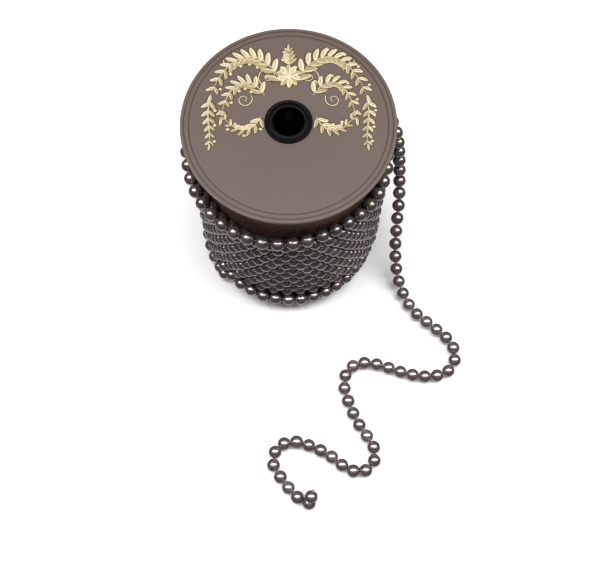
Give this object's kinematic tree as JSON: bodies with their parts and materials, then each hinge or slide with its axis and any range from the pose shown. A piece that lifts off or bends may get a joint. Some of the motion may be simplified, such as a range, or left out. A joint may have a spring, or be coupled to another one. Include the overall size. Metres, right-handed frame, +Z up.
{
  "type": "pearl garland on a spool",
  "caption": "Bead strand of pearl-look garland, wound in one layer on a card drum spool with a black hub, its loose end hanging off the top turn and lying in a zigzag on the table.",
  "frame": {"origin": "middle of the spool's underside, on the surface that it stands on", "axes": "+Z up along the spool's axis; -Y is the front, where the loose end lies; +X is the right of the picture"},
  "size_m": [0.1743, 0.2575, 0.1425],
  "materials": {
    "pearl": "taupe grey pearl lacquer on plastic beads, semi-gloss with a soft sheen",
    "printed_card": "matt taupe paper on card with thin brown border rings and a cream ornament",
    "brown_card": "dark brown wound card tube, matt",
    "black_plastic": "black moulded plastic, satin"
  },
  "bodies": {
    "root": {"winding": "pearl", "loose_end": "pearl", "top_flange": "printed_card", "bottom_flange": "printed_card", "core_tube": "brown_card", "hub": "black_plastic"}
  },
  "joints": []
}
